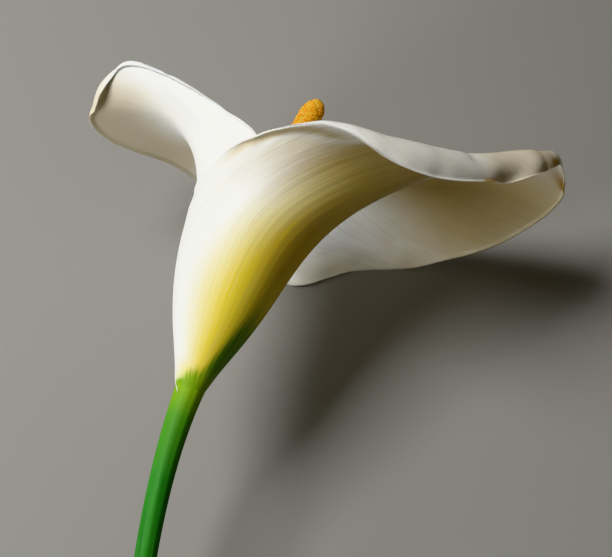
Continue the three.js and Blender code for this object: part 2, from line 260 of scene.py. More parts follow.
steps = np.arange(SLEEVE_STEPS, 0, -1) / SLEEVE_STEPS
centres, ways = stem_line(steps[:, None] * SLEEVE_LENGTH / STEM_LENGTH)
turned_feet = foot_turn + SLEEVE_SLANT * eased(steps, 0, 1)
spokes = outward(turned_feet) @ TO_FLOWER.T
spokes = unit(spokes - ways * (spokes * ways).sum(-1, keepdims=True))
foot_reach = np.linalg.norm(sheet[:, :1], axis=-1)
sink = SLEEVE_LAYERS * (1 + layer)
sink = sink + SLEEVE_SINK * eased(foot_turn, foot_turn[0], foot_turn[0] + SLEEVE_POINT)
sleeve_reach = stem_radius(centres)[:, 0] + SLEEVE_END_DEPTH - sink
reaches = foot_reach + (sleeve_reach - foot_reach) * eased(steps, 0, 1)
sleeve = (centres + spokes * reaches[..., None]) @ TO_FLOWER
sheet = np.concatenate([sleeve, sheet], axis=1)
for _ in range(FINE_RELAXATIONS):
    sheet[:, :SMOOTHED_STEPS] = relaxed(sheet[:, :SMOOTHED_STEPS], 1, 1, SMOOTHED_STEPS - 1)
columns, rows = sheet.shape[:2]
foot_turn = foot_turn + np.zeros((1, rows))
across = np.linspace(0, 1, columns)[:, None] + np.zeros((1, rows))


def sheet_normals(sheet):
    return unit(np.cross(np.gradient(sheet, axis=0), np.gradient(sheet, axis=1)))


def run_lengths(sheet, axis):
    """How far each point is from the start of its line, along one axis."""
    steps = np.linalg.norm(np.diff(sheet, axis=axis), axis=-1)
    return np.insert(np.cumsum(steps, axis=axis), 0, 0, axis=axis)


from_end = run_lengths(sheet, 1)
from_foot = from_end - from_end[:, SLEEVE_STEPS:SLEEVE_STEPS + 1]
from_margin = from_end[:, -1:] - from_end
along_margin = run_lengths(sheet, 0)[:, -1:]

# The free margin ripples a little. Each ripple: its length, its height and where it starts.
RIPPLES = ((31.0, 0.22, 0.4), (17.0, 0.13, 2.1), (9.5, 0.07, 4.0))
RIPPLE_DEPTH = 9.0
RIPPLE_HEIGHTS = (40, 70)
ripple = sum(size * np.sin(2 * math.pi * along_margin / length + start) for length, size, start in RIPPLES)
relief = ripple * np.exp(-from_margin / RIPPLE_DEPTH) * eased(from_foot, *RIPPLE_HEIGHTS)

# Dents and bulges, each with its turn at the foot, its distance from the margin, how many degrees and
# millimetres it takes up, and how far it stands outwards: the folds of the near margin, the curled end
# of the left wing and the crease above the lying lip.
FOLDS = (
    (-38, 3, 5, 5, -1.1), (-24, 6, 5, 5, 0.4),
    (172, 0, 2.5, 3, 1.0), (179, 0, 2.5, 3, -0.9), (186, 1, 3, 3, 0.6),
    (84, 9, 15, 2.6, -1.6), (84, 4, 16, 2.5, 0.8), (92, 25, 14, 14, -8.0), (-48, 0, 6, 3.5, 1.6),
)
for turn, depth, width, height, size in FOLDS:
    relief += size * np.exp(-((foot_turn - turn) / width) ** 2 - ((from_margin - depth) / height) ** 2)

# Creases of the tip and the near margin, which are a little brown. Each crease: the turn and the depth
# of its two ends, its width, how far it stands outwards and how brown it is.
CREASES = (
    (-26, 10, 7, 1, 1.5, 0.7, 0.9), (-29, 9, -31, 0, 1.1, 0.5, 0.6), (-24, 2, -20, 1, 1.3, 0.0, 1.0),
    (-58, 0, -54, 0, 0.8, 0.0, 0.8), (-60, 9, -46, 0, 3.4, 1.2, 0.0),
)
BROWN_SPREAD = 1.2


def sheet_point(turn, depth):
    column = np.abs(foot_turn[:, 0] - turn).argmin()
    return sheet[column, np.abs(from_margin[column] - depth).argmin()]


brown = np.zeros_like(from_margin)
for start_turn, start_depth, end_turn, end_depth, width, height, tint in CREASES:
    start = sheet_point(start_turn, start_depth)
    run = sheet_point(end_turn, end_depth) - start
    share = np.clip(((sheet - start) @ run) / (run @ run), 0, 1)[..., None]
    distance = np.linalg.norm(sheet - start - share * run, axis=-1)
    relief += height * np.exp(-((distance / width) ** 2))
    brown = np.maximum(brown, tint * np.exp(-((distance / width / BROWN_SPREAD) ** 2)))

# Sags and lifts: the same numbers as a dent's, moved up the table instead of outwards. The near margin
# sags and the left wing's margin is lifted.
SAGS = ((-47, 0, 7, 4, (0, -1.3, -0.6)), (170, 0, 24, 19, (0.4, -3.2, 6.9)))
sagged = np.zeros_like(sheet)
for turn, depth, width, height, way in SAGS:
    share = np.exp(-((foot_turn - turn) / width) ** 2 - ((from_margin - depth) / height) ** 2)
    sagged += share[..., None] * (np.array(way) @ TO_FLOWER)

# Low pleats follow the veins up the funnel.
PLEATS = 62
PLEAT_HEIGHT = 0.012
PLEAT_WANDER = 3
PLEAT_WANDERS = 9
PLEAT_RUN = 60
PLEAT_HEIGHTS = (6, 30)
PLEAT_DEPTHS = (0, 20)
wander = PLEAT_WANDER * np.sin(PLEAT_WANDERS * across)
pleat = PLEAT_HEIGHT * np.sin(2 * math.pi * PLEATS * across + wander + from_foot / PLEAT_RUN)
relief += pleat * eased(from_foot, *PLEAT_HEIGHTS) * eased(from_margin, *PLEAT_DEPTHS)
sheet = sheet + sheet_normals(sheet) * relief[..., None] + sagged
normals = sheet_normals(sheet)


def placed(points):
    """Points of the flower's own frame, whose axis is +Z, put where the flower lies."""
    return points @ TO_FLOWER.T + np.array(BASE)


# The wall, thinner towards the free margin, with a rounded edge, and lifted where it meets the table.
THINNED_MARGIN = 12
SLEEVE_END_SHARE = 0.2
EDGE_ROUNDING = 0.7
half_wall = MARGIN_WALL / 2 + (WALL - MARGIN_WALL) / 2 * eased(from_margin, 0, THINNED_MARGIN)
half_wall = half_wall * (SLEEVE_END_SHARE + (1 - SLEEVE_END_SHARE) * eased(from_end, 0, SLEEVE_LENGTH))
outer = placed(sheet + normals * half_wall[..., None])
inner = placed(sheet - normals * half_wall[..., None])
sunk = np.minimum(np.minimum(outer[..., 2], inner[..., 2]), 0)
outer[..., 2] -= sunk
inner[..., 2] -= sunk
beyond = np.zeros_like(sheet)
beyond[0] = unit(sheet[0] - sheet[1])
beyond[-1] = unit(sheet[-1] - sheet[-2])
beyond[:, 0] = unit(sheet[:, 0] - sheet[:, 1])
beyond[:, -1] = unit(sheet[:, -1] - sheet[:, -2])
edge = placed(sheet + beyond * half_wall[..., None] * EDGE_ROUNDING)
edge[..., 2] = np.maximum(edge[..., 2] - sunk, 0)

# Its faces: the outer face and the inner face split alike, and a strip from each to the rounded edge.
number = np.arange(columns * rows).reshape(columns, rows)
shift = columns * rows
quads = np.stack([number[:-1, :-1], number[1:, :-1], number[1:, 1:], number[:-1, 1:]], -1).reshape(-1, 4)
around = np.concatenate([number[:, 0][::-1], number[0, 1:], number[1:, -1], number[-1, -2:0:-1]])
rounding = np.arange(len(around)) + 2 * shift
next_one = np.roll(around, -1)
next_rounding = np.roll(rounding, -1)
strip_out = np.stack([around, rounding, next_rounding, next_one], -1)
strip_in = np.stack([rounding, around + shift, next_one + shift, next_rounding], -1)
faces = np.concatenate([quads, quads[:, ::-1] + shift, strip_out, strip_in])
points = np.concatenate([outer.reshape(-1, 3), inner.reshape(-1, 3), edge.reshape(-1, 3)[around]])

spathe_mesh = bpy.data.meshes.new("spathe")
spathe_mesh.from_pydata(points * MM, [], faces.tolist())
spathe_mesh.shade_smooth()


def set_attribute(name, values):
    """A number for each point of the spathe's grid, the same on both faces and on the edge between."""
    flat = values.ravel()
    layer = spathe_mesh.attributes.new(name, "FLOAT", "POINT")
    layer.data.foreach_set("value", np.concatenate([flat, flat, flat[around]]).astype(np.float32))


def within(values, start, full, fading, gone):
    """1 from full to fading and 0 before start and after gone, with soft steps between them."""
    return eased(values, start, full) * (1 - eased(values, fading, gone))


# Where the colours are. TURNS are degrees round the foot, HEIGHTS are millimetres up from the foot and
# DEPTHS are millimetres in from the margin. Two numbers are where a soft step starts and ends, and four
# are where a colour starts, is full, begins to fade and is gone.

# Yellow climbs the near side, with its edge further to the front the higher it is, and fades above.
YELLOW_EDGE = -112
YELLOW_EDGE_SHIFT = 30
YELLOW_EDGE_HEIGHTS = (22, 66)
YELLOW_BEFORE_EDGE = 40
YELLOW_PAST_EDGE = 36
YELLOW_END_TURNS = (40, 110)
YELLOW_PALING = 0.5
YELLOW_PALING_HEIGHTS = (48, 95)
YELLOW_END_HEIGHTS = (70, 102)
FOOT_YELLOW = 0.4
FOOT_YELLOW_TURNS = (-150, -105)
FOOT_YELLOW_HEIGHTS = (-1, 10)
yellow_edge = YELLOW_EDGE_SHIFT * eased(from_foot, *YELLOW_EDGE_HEIGHTS) + YELLOW_EDGE
yellow = within(
    foot_turn, yellow_edge - YELLOW_BEFORE_EDGE, yellow_edge + YELLOW_PAST_EDGE, *YELLOW_END_TURNS)
yellow *= 1 - YELLOW_PALING * eased(from_foot, *YELLOW_PALING_HEIGHTS)
yellow *= 1 - eased(from_foot, *YELLOW_END_HEIGHTS)
foot_yellow = FOOT_YELLOW + (1 - FOOT_YELLOW) * eased(foot_turn, *FOOT_YELLOW_TURNS)
yellow = np.maximum(yellow, foot_yellow * (1 - eased(from_foot, *FOOT_YELLOW_HEIGHTS)))

# Green climbs highest on the dark side, under the yellow, and least at the outer margin.
GREEN_TOP = -2
GREEN_NEAR_RISE = 4
GREEN_NEAR_TURNS = (-165, -88)
GREEN_DARK_RISE = 22
GREEN_DARK_TURNS = (-76, -30)
GREEN_BACK_DROP = 0.6
GREEN_BACK_TURNS = (40, 130)
GREEN_SOFTNESS = 2.9
GREEN_DARK_SOFTNESS = 11
GREEN_SOFT_TURNS = (-80, -36)
GREEN_STRENGTH = 1.3
SLEEVE_GREEN = 1.6
SLEEVE_GREEN_HEIGHTS = (-4, -1)
green_top = GREEN_TOP + GREEN_NEAR_RISE * eased(foot_turn, *GREEN_NEAR_TURNS)
green_top = green_top + GREEN_DARK_RISE * eased(foot_turn, *GREEN_DARK_TURNS)
green_top *= 1 - GREEN_BACK_DROP * eased(foot_turn, *GREEN_BACK_TURNS)
green_blend = GREEN_SOFTNESS + GREEN_DARK_SOFTNESS * eased(foot_turn, *GREEN_SOFT_TURNS)
green = 1 - eased(from_foot, green_top - green_blend, green_top + green_blend)
green *= GREEN_STRENGTH + SLEEVE_GREEN * (1 - eased(from_foot, *SLEEVE_GREEN_HEIGHTS))

# The outer margin stays white, as a line that narrows down to its point on the stem.
WHITE_WIDTH = 5
WHITE_SPREAD = 27
WHITE_SPREAD_HEIGHTS = (-SLEEVE_LENGTH, 6)
TURNED_IN_ALL = VEINS[-1, 0] - VEINS[0, 0]
margin_width = WHITE_WIDTH + WHITE_SPREAD * eased(from_foot, *WHITE_SPREAD_HEIGHTS)
not_white = 1 - np.exp(-((across * TURNED_IN_ALL / margin_width) ** 2))

# The near wall is tanned below a white rim, and on the left a tan line follows that rim. This tan and the
# tan line are painted shade under the flared rim, over a faint cream of the tissue itself.
TAN_TURNS = (-165, -105, -36, 16)
TAN_HEIGHTS = (50, 88)
LEFT_TAN = 0.55
LEFT_TAN_TURNS = (-116, -90)
RIM_DEPTH = 2
RIM_LEFT_DEEPER = 1.5
RIM_LEFT_TURNS = (-150, -130)
RIM_DEEPER = 11
RIM_TURNS = (-134, -104)
RIM_FADE = 6
RIM_LINE_TURNS = (-165, -150, -114, -100)
RIM_LINE_TAN = 0.8
RIM_LINE_WIDTH = 1.8
tan_and_painted_shade = within(foot_turn, *TAN_TURNS) * eased(from_foot, *TAN_HEIGHTS)
tan_and_painted_shade *= LEFT_TAN + (1 - LEFT_TAN) * eased(foot_turn, *LEFT_TAN_TURNS)
rim_depth = RIM_DEPTH + RIM_LEFT_DEEPER * eased(foot_turn, *RIM_LEFT_TURNS)
rim_depth = rim_depth + RIM_DEEPER * eased(foot_turn, *RIM_TURNS)
tan_and_painted_shade *= eased(from_margin - rim_depth, 0, RIM_FADE)
rim_line = np.exp(-(((from_margin - rim_depth) / RIM_LINE_WIDTH) ** 2))
tan_and_painted_shade = np.maximum(tan_and_painted_shade, RIM_LINE_TAN * within(foot_turn, *RIM_LINE_TURNS) * rim_line)

# The lying lip is tanned and faintly yellow inside, with a tan streak and a tan edge where it turns down.
# Its tan is partly the tissue's cream and partly painted shade, and its yellow partly painted glow of light
# through it. The streak is painted shade along a fold, and the edge is painted shade where it turns down.
LIP_TURNS = (-14, 20, 42, 74)
LIP_DEPTHS = (-25, 14)
LIP_HEIGHTS = (50, 85)
LIP_YELLOW_AND_GLOW = 0.45
LIP_TAN_AND_SHADE = 0.4
STREAK_TURN = 67
STREAK_WIDTH = 3
STREAK_DEPTHS = (10, 26)
FOLD_SHADE_TAN = 0.3
LIP_EDGE_TURNS = (50, 62, 80, 100)
LIP_EDGE_DEPTHS = (3, 12)
LIP_EDGE_SHADE_TAN = 0.35
lip_tint_and_shade = within(foot_turn, *LIP_TURNS) * eased(from_margin, *LIP_DEPTHS) * eased(from_foot, *LIP_HEIGHTS)
painted_fold_shade = np.exp(-(((foot_turn - STREAK_TURN) / STREAK_WIDTH) ** 2))
painted_fold_shade *= 1 - eased(from_margin, *STREAK_DEPTHS)
lip_edge_shade = within(foot_turn, *LIP_EDGE_TURNS) * (1 - eased(from_margin, *LIP_EDGE_DEPTHS))
yellow = np.maximum(yellow, LIP_YELLOW_AND_GLOW * lip_tint_and_shade)
for share, tan in ((lip_tint_and_shade, LIP_TAN_AND_SHADE), (painted_fold_shade, FOLD_SHADE_TAN), (lip_edge_shade, LIP_EDGE_SHADE_TAN)):
    tan_and_painted_shade = np.maximum(tan_and_painted_shade, tan * share)
tan_and_painted_shade *= eased(from_foot, *LIP_HEIGHTS)

# The rolled near margin is faintly cream, and tanned more near the tip, where the tan is painted shade.
# The left wing's end is tanned with painted shade where it curls away from the lamp.
BAND_TURNS = (-115, -95, -10, 10)
BAND_DEPTHS = (12, 20)
BAND_TAN = 0.15
BAND_TIP_TURNS = (-64, -50, -24, -10)
BAND_TIP_SHADE = 0.4
WING_TURNS = (104, 134, 172, 192)
WING_HEIGHTS = (70, 110)
WING_DEPTHS = (10, 38)
WING_SHADE_TAN = 0.6
band_tan_and_shade = within(foot_turn, *BAND_TURNS) * (1 - eased(from_margin, *BAND_DEPTHS))
tan_and_painted_shade = np.maximum(tan_and_painted_shade, (BAND_TAN + BAND_TIP_SHADE * within(foot_turn, *BAND_TIP_TURNS)) * band_tan_and_shade)
painted_wing_shade = within(foot_turn, *WING_TURNS) * eased(from_foot, *WING_HEIGHTS)
tan_and_painted_shade = np.maximum(tan_and_painted_shade, WING_SHADE_TAN * painted_wing_shade * (1 - eased(from_margin, *WING_DEPTHS)))

# The veins bend towards the tip as they near the margin, and they show most on the near wall. The yellow
# turns to a darker gold on the dark side, which is painted shade.
TIP_TURN = 10
VEIN_SWEEP = 0.6
VEIN_SWEEP_DEPTH = 16
VEINS_AT_FOOT = 0.22
VEINS_ABOVE = 0.6
VEIN_HEIGHTS = (20, 85)
VEINS_LOST_AT_TOP = 0.75
VEIN_END_HEIGHTS = (92, 118)
VEINS_LOST_ON_LEFT = 0.3
VEIN_LEFT_TURNS = (-150, -100)
VEINS_LOST_ON_WING = 0.9
VEIN_WING_TURNS = (95, 130)
VEINS_LOST_BY_INNER_MARGIN = 0.3
VEIN_INNER_TURNS = (195, 215)
VEINS_LOST_IN_YELLOW = 0.4
SHADE_GOLD_SHARE = 0.55
SHADE_GOLD_TURNS = (-84, -40)
SHADE_GOLD_HEIGHTS = (20, 50)
sweep = 1 + VEIN_SWEEP * np.exp(-from_margin / VEIN_SWEEP_DEPTH)
vein_turn = TIP_TURN + (foot_turn - TIP_TURN) * sweep
veined = VEINS_AT_FOOT + VEINS_ABOVE * eased(from_foot, *VEIN_HEIGHTS)
veined *= 1 - VEINS_LOST_AT_TOP * eased(from_foot, *VEIN_END_HEIGHTS)
veined *= 1 - VEINS_LOST_ON_LEFT * (1 - eased(foot_turn, *VEIN_LEFT_TURNS))
lost_on_wing = VEINS_LOST_ON_WING * (1 - VEINS_LOST_BY_INNER_MARGIN * eased(foot_turn, *VEIN_INNER_TURNS))
veined *= 1 - lost_on_wing * eased(foot_turn, *VEIN_WING_TURNS)
set_attribute("vein_place", vein_turn / TURNED_IN_ALL)
set_attribute("veined", veined * (1 - VEINS_LOST_IN_YELLOW * yellow))
set_attribute("from_foot", from_foot)
set_attribute("yellow", yellow * not_white)
set_attribute("shade_gold", SHADE_GOLD_SHARE * eased(foot_turn, *SHADE_GOLD_TURNS) * eased(from_foot, *SHADE_GOLD_HEIGHTS))
set_attribute("green", green * not_white)
set_attribute("tan_and_painted_shade", tan_and_painted_shade)
set_attribute("brown", brown)
spathe = bpy.data.objects.new("spathe_skin", spathe_mesh)
bpy.context.scene.collection.objects.link(spathe)


def linear(colour):
    """An sRGB hex colour as linear red, green, blue and alpha."""
    parts = [int(colour[k:k + 2], 16) / 255 for k in (1, 3, 5)]
    return [part / 12.92 if part <= 0.04045 else ((part + 0.055) / 1.055) ** 2.4 for part in parts] + [1]


def add_node(tree, kind, inputs=None, **settings):
    """Adds a node. Its inputs are given by name or number, each as a value or as another node's output."""
    node = tree.nodes.new(kind)
    for name, value in settings.items():
        setattr(node, name, value)
    for key, value in (inputs or {}).items():
        if isinstance(value, bpy.types.NodeSocket):
            tree.links.new(value, node.inputs[key])
        else:
            node.inputs[key].default_value = value
    return node


def bare_material(name):
    """A material without any nodes yet, and its node tree."""
    material = bpy.data.materials.new(name)
    material.use_nodes = True
    material.node_tree.nodes.clear()
    return material, material.node_tree


# Spathe tissue: living plant tissue with a waxy skin, white from the air between its cells, yellow and
# green towards the foot, which gives a soft white satin. Fine tan veins run up it, and some light glows
# through it. FIBRES, DRIFT and STREAKS are noises across the veins: the waves on each vein, and detail.
SPATHE_WHITE = "#eff1f0"
SPATHE_VEIN = "#a3925f"
SPATHE_CREAM = "#e8e6da"
# The tan below is partly the tissue's cream and partly painted shade.
SPATHE_TAN_AND_SHADE = "#c8b486"
SPATHE_YELLOW = "#f3dd50"
SPATHE_GREEN = "#62963a"
SPATHE_YOUNG = "#7fa528"
# The gold is the yellow darkened as painted shade on the dark side.
SPATHE_SHADE_GOLD = "#dcb062"
SPATHE_BROWN = "#a9802c"
VEIN_COUNT = 120
VEIN_RISE = 0.02
VEIN_DRIFT = 5.0
VEIN_EDGE = 0.15
VEIN_CORE = 0.02
FINER_VEINS = ((1, 0.0), (2, 45.0), (4, 80.0))
VEIN_ONSET = 25.0
FIBRES = (2.2, 3.0)
DRIFT = (0.16, 1.0)
STREAKS = (0.7, 2.0)
YOUNG_HEIGHT = 7.0

spathe_tissue, tree = bare_material("waxy_spathe_tissue")
vein_at, veined_at, foot_at, yellow_at, shade_gold_at, green_at, tan_and_shade_at, brown_at = (
    add_node(tree, "ShaderNodeAttribute", attribute_name=name).outputs["Fac"]
    for name in ("vein_place", "veined", "from_foot", "yellow", "shade_gold", "green", "tan_and_painted_shade", "brown")
)
vein_number = add_node(tree, "ShaderNodeMath", {0: vein_at, 1: VEIN_COUNT}, operation="MULTIPLY").outputs[0]
vein_rise = add_node(tree, "ShaderNodeMath", {0: foot_at, 1: VEIN_RISE}, operation="MULTIPLY").outputs[0]
vein_place = add_node(tree, "ShaderNodeCombineXYZ", {"X": vein_number, "Y": vein_rise}).outputs[0]
fibres, drift, streak_noise = (
    add_node(tree, "ShaderNodeTexNoise", {
        "Vector": vein_place, "Scale": scale, "Detail": detail}).outputs["Fac"]
    for scale, detail in (FIBRES, DRIFT, STREAKS)
)

# Vein lines, wandering a little, with finer ones between them from the given heights up.
lines = None
for finer, start in FINER_VEINS:
    place = add_node(tree, "ShaderNodeMath", {0: drift, 1: VEIN_DRIFT, 2: vein_number},
                     operation="MULTIPLY_ADD")
    place = add_node(tree, "ShaderNodeMath", {0: place.outputs[0], 1: finer}, operation="MULTIPLY")
    wave = add_node(tree, "ShaderNodeMath", {0: place.outputs[0], 1: 0.5}, operation="PINGPONG")
    line = add_node(tree, "ShaderNodeMapRange", {"Value": wave.outputs[0], 1: VEIN_EDGE, 2: VEIN_CORE},
                    interpolation_type="SMOOTHSTEP")
    shown = add_node(tree, "ShaderNodeMapRange", {
        "Value": foot_at, 1: start, 2: start + VEIN_ONSET, 4: 1.0 / finer})
    line = add_node(tree, "ShaderNodeMath", {0: line.outputs[0], 1: shown.outputs[0]}, operation="MULTIPLY")
    lines = line.outputs[0] if lines is None else add_node(
        tree, "ShaderNodeMath", {0: lines, 1: line.outputs[0]}, operation="MAXIMUM").outputs[0]
lines = add_node(tree, "ShaderNodeMath", {0: lines, 1: fibres}, operation="MULTIPLY").outputs[0]
streaks = add_node(tree, "ShaderNodeMapRange", {"Value": streak_noise, 1: 0.42, 2: 0.72, 4: 0.4}).outputs[0]
lines = add_node(tree, "ShaderNodeMath", {0: lines, 1: 1.1, 2: streaks}, operation="MULTIPLY_ADD",
                 use_clamp=True).outputs[0]
vein_share = add_node(tree, "ShaderNodeMath", {0: lines, 1: veined_at}, operation="MULTIPLY").outputs[0]

# Yellow and green break up into streaks along the veins, and white is a little creamy in places.
streaky = add_node(tree, "ShaderNodeMapRange", {
    "Value": fibres, 1: 0.3, 2: 0.7, 3: 0.86, 4: 1.1}).outputs[0]
ragged = add_node(tree, "ShaderNodeMapRange", {
    "Value": streak_noise, 1: 0.38, 2: 0.62, 3: 0.5, 4: 1.3}).outputs[0]
yellow, green = (
    add_node(tree, "ShaderNodeMath", {0: share, 1: broken}, operation="MULTIPLY", use_clamp=True).outputs[0]
    for share, broken in ((yellow_at, streaky), (green_at, ragged))
)
cream = add_node(tree, "ShaderNodeMapRange", {
    "Value": drift, 1: 0.35, 2: 0.65, 3: 0.05, 4: 0.35}).outputs[0]
young = add_node(tree, "ShaderNodeMapRange", {
    "Value": foot_at, 1: 0.0, 2: YOUNG_HEIGHT, 3: 1.0, 4: 0.0}).outputs[0]
colour, yellow_with_shade_gold, greenish = (
    add_node(tree, "ShaderNodeMix", {
        0: share, 6: linear(one), 7: linear(other)}, data_type="RGBA").outputs[2]
    for share, one, other in (
        (cream, SPATHE_WHITE, SPATHE_CREAM), (shade_gold_at, SPATHE_YELLOW, SPATHE_SHADE_GOLD),
        (young, SPATHE_GREEN, SPATHE_YOUNG),
    )
)
# The tan share carries painted shade as well as the tissue's cream, and the gold is painted shade.
for share, tint in (
    (tan_and_shade_at, linear(SPATHE_TAN_AND_SHADE)), (yellow, yellow_with_shade_gold), (vein_share, linear(SPATHE_VEIN)),
    (green, greenish), (brown_at, linear(SPATHE_BROWN)),
):
    colour = add_node(tree, "ShaderNodeMix", {0: share, 6: colour, 7: tint}, data_type="RGBA").outputs[2]
relief = add_node(tree, "ShaderNodeMath", {0: fibres, 1: lines}, operation="SUBTRACT").outputs[0]
bump = add_node(tree, "ShaderNodeBump", {
    "Height": relief, "Strength": 0.3, "Distance": 0.06 * MM}).outputs[0]
skin = add_node(tree, "ShaderNodeBsdfPrincipled", {
    "Base Color": colour, "Roughness": 0.45, "IOR": 1.45, "Normal": bump,
    "Subsurface Weight": 0.5, "Subsurface Radius": (1.0, 0.97, 0.85), "Subsurface Scale": MM,
})
add_node(tree, "ShaderNodeOutputMaterial", {"Surface": skin.outputs[0]})
spathe_mesh.materials.append(spathe_tissue)
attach(spathe, "root")
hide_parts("spathe")


# Stem
# The flower's stalk: round, smooth and fleshy, thickest under the spathe, with faint ribs. It was cut at
# its lower end, which shows its pale spongy inside with the darker ends of its strands.
STEM_SIDES = 72
STEM_RINGS = 220
STEM_RIBS = ((9, 0.035), (14, 0.025), (23, 0.012))
CUT_RINGS = 8
CUT_HOLLOW = 0.5
CUT_EDGE = 0.25
RIB_START = 3

t = np.linspace(1, 0, STEM_RINGS)[:, None]
centres, ways = stem_line(t)
angles = np.arange(STEM_SIDES) * 2 * math.pi / STEM_SIDES
x_ways = unit(np.array([1, 0, 0]) - ways * ways[:, :1])
y_ways = np.cross(ways, x_ways)
spokes = x_ways[:, None] * np.cos(angles)[:, None] + y_ways[:, None] * np.sin(angles)[:, None]
ribs = sum(height * np.sin(count * angles + count) for count, height in STEM_RIBS)
from_cut = np.linalg.norm(centres - centres[0], axis=1)
edge = CUT_EDGE * (1 - eased(from_cut, 0, 2 * CUT_EDGE))
radii = stem_radius(centres) - edge[:, None] + ribs[None, :] * eased(from_cut, 0, RIB_START)[:, None]
sides = centres[:, None] + spokes * radii[..., None]

# The cut face: rings from its edge to its middle, a little hollow.
shares = np.linspace(1, 0, CUT_RINGS + 1)[1:-1]
hollow = CUT_HOLLOW * (1 - shares**2)
cut = centres[0] + ways[0] * hollow[:, None, None] + spokes[0] * (shares[:, None] * radii[0])[..., None]
cut_middle = centres[0] + ways[0] * CUT_HOLLOW
rings = np.concatenate([cut[::-1], sides]) + np.array(BASE)
rings[..., 2] = np.maximum(rings[..., 2], 0)
ring_count = len(rings)
numbers = np.arange(ring_count * STEM_SIDES).reshape(ring_count, STEM_SIDES)
turned = np.roll(numbers, -1, axis=1)
stem_faces = np.stack([numbers[:-1], turned[:-1], turned[1:], numbers[1:]], -1).reshape(-1, 4).tolist()
middle = ring_count * STEM_SIDES
stem_faces += [[middle, after, before] for before, after in zip(numbers[0], turned[0])]
stem_faces.append(numbers[-1].tolist())
points = np.concatenate([rings.reshape(-1, 3), [cut_middle + np.array(BASE)]])
stem_mesh = bpy.data.meshes.new("stem")
stem_mesh.from_pydata(points * MM, [], stem_faces)
stem_mesh.shade_smooth()

# Where each point is on the skin: round the stem at true size, and along it shortened, so that what is
# drawn there runs along the stem.
FIBRE_STRETCH = 0.03
from_shoulder = np.linalg.norm(centres, axis=1)
round_it = np.stack([np.cos(angles), np.sin(angles)], -1)[None] * STEM_FOOT_RADIUS
fibre_place = np.zeros((ring_count, STEM_SIDES, 3))
fibre_place[..., :2] = round_it
fibre_place[-STEM_RINGS:, :, 2] = from_shoulder[:, None] * FIBRE_STRETCH
layer_of_places = stem_mesh.attributes.new("fibre_place", "FLOAT_VECTOR", "POINT")
flat = np.concatenate([fibre_place.reshape(-1, 3), np.zeros((1, 3))])
layer_of_places.data.foreach_set("vector", flat.astype(np.float32).ravel())
on_skin = np.concatenate([np.full(len(cut), -1.0), from_shoulder])[:, None] + np.zeros(STEM_SIDES)
layer_of_heights = stem_mesh.attributes.new("from_shoulder", "FLOAT", "POINT")
layer_of_heights.data.foreach_set("value", np.append(on_skin.ravel(), -1).astype(np.float32))
stem = bpy.data.objects.new("stem_skin", stem_mesh)
bpy.context.scene.collection.objects.link(stem)

# Stem skin: living green plant skin with a thin wax, which gives a satin green. It is yellower under the
# spathe, with fine pale lines along its strands.
STEM_YOUNG = "#5c9630"
STEM_GREEN = "#39852f"
STEM_DEEP = "#2a6c2c"
STEM_PALE = "#5c9c52"
STRANDS_PER_MM = 2.6
PATCHES_PER_MM = 0.5

stem_skin, tree = bare_material("waxy_green_stem_skin")
place = add_node(tree, "ShaderNodeAttribute", attribute_name="fibre_place").outputs["Vector"]
down = add_node(tree, "ShaderNodeAttribute", attribute_name="from_shoulder").outputs["Fac"]
strands, patches = (
    add_node(tree, "ShaderNodeTexNoise", {"Vector": place, "Scale": scale, "Detail": detail}).outputs["Fac"]
    for scale, detail in ((STRANDS_PER_MM, 4.0), (PATCHES_PER_MM, 1.0))
)
young, top = (
    add_node(tree, "ShaderNodeMapRange", {"Value": down, 1: start, 2: end, 3: 1.0, 4: 0.0}).outputs[0]
    for start, end in ((2.0, 32.0), (3.0, 12.0))
)
deep = add_node(tree, "ShaderNodeMapRange", {"Value": patches, 1: 0.4, 2: 0.65, 4: 0.7}).outputs[0]
pale = add_node(tree, "ShaderNodeMapRange", {"Value": strands, 1: 0.52, 2: 0.68, 4: 0.5}).outputs[0]
older = add_node(tree, "ShaderNodeMath", {0: 1.0, 1: young}, operation="SUBTRACT").outputs[0]
pale = add_node(tree, "ShaderNodeMath", {0: pale, 1: older}, operation="MULTIPLY").outputs[0]
colour = linear(STEM_GREEN)
for share, tint in ((deep, STEM_DEEP), (young, STEM_YOUNG), (top, SPATHE_YOUNG), (pale, STEM_PALE)):
    colour = add_node(tree, "ShaderNodeMix", {0: share, 6: colour, 7: linear(tint)},
                      data_type="RGBA").outputs[2]
bump = add_node(tree, "ShaderNodeBump", {
    "Height": strands, "Strength": 0.4, "Distance": 0.08 * MM}).outputs[0]
skin = add_node(tree, "ShaderNodeBsdfPrincipled", {
    "Base Color": colour, "Roughness": 0.6, "IOR": 1.35, "Normal": bump,
    "Subsurface Weight": 0.2, "Subsurface Radius": (0.5, 1.0, 0.3), "Subsurface Scale": MM,
})
add_node(tree, "ShaderNodeOutputMaterial", {"Surface": skin.outputs[0]})

# Stem flesh: the wet spongy inside, which gives a pale green gloss full of pores, with the brownish ends
# of the cut strands.
FLESH_PALE = "#cfd9a8"
FLESH_GREEN = "#93ad66"
FLESH_STRAND = "#7d7a3c"
PORES_PER_MM = 2.6
STRAND_ENDS_PER_MM = 0.9

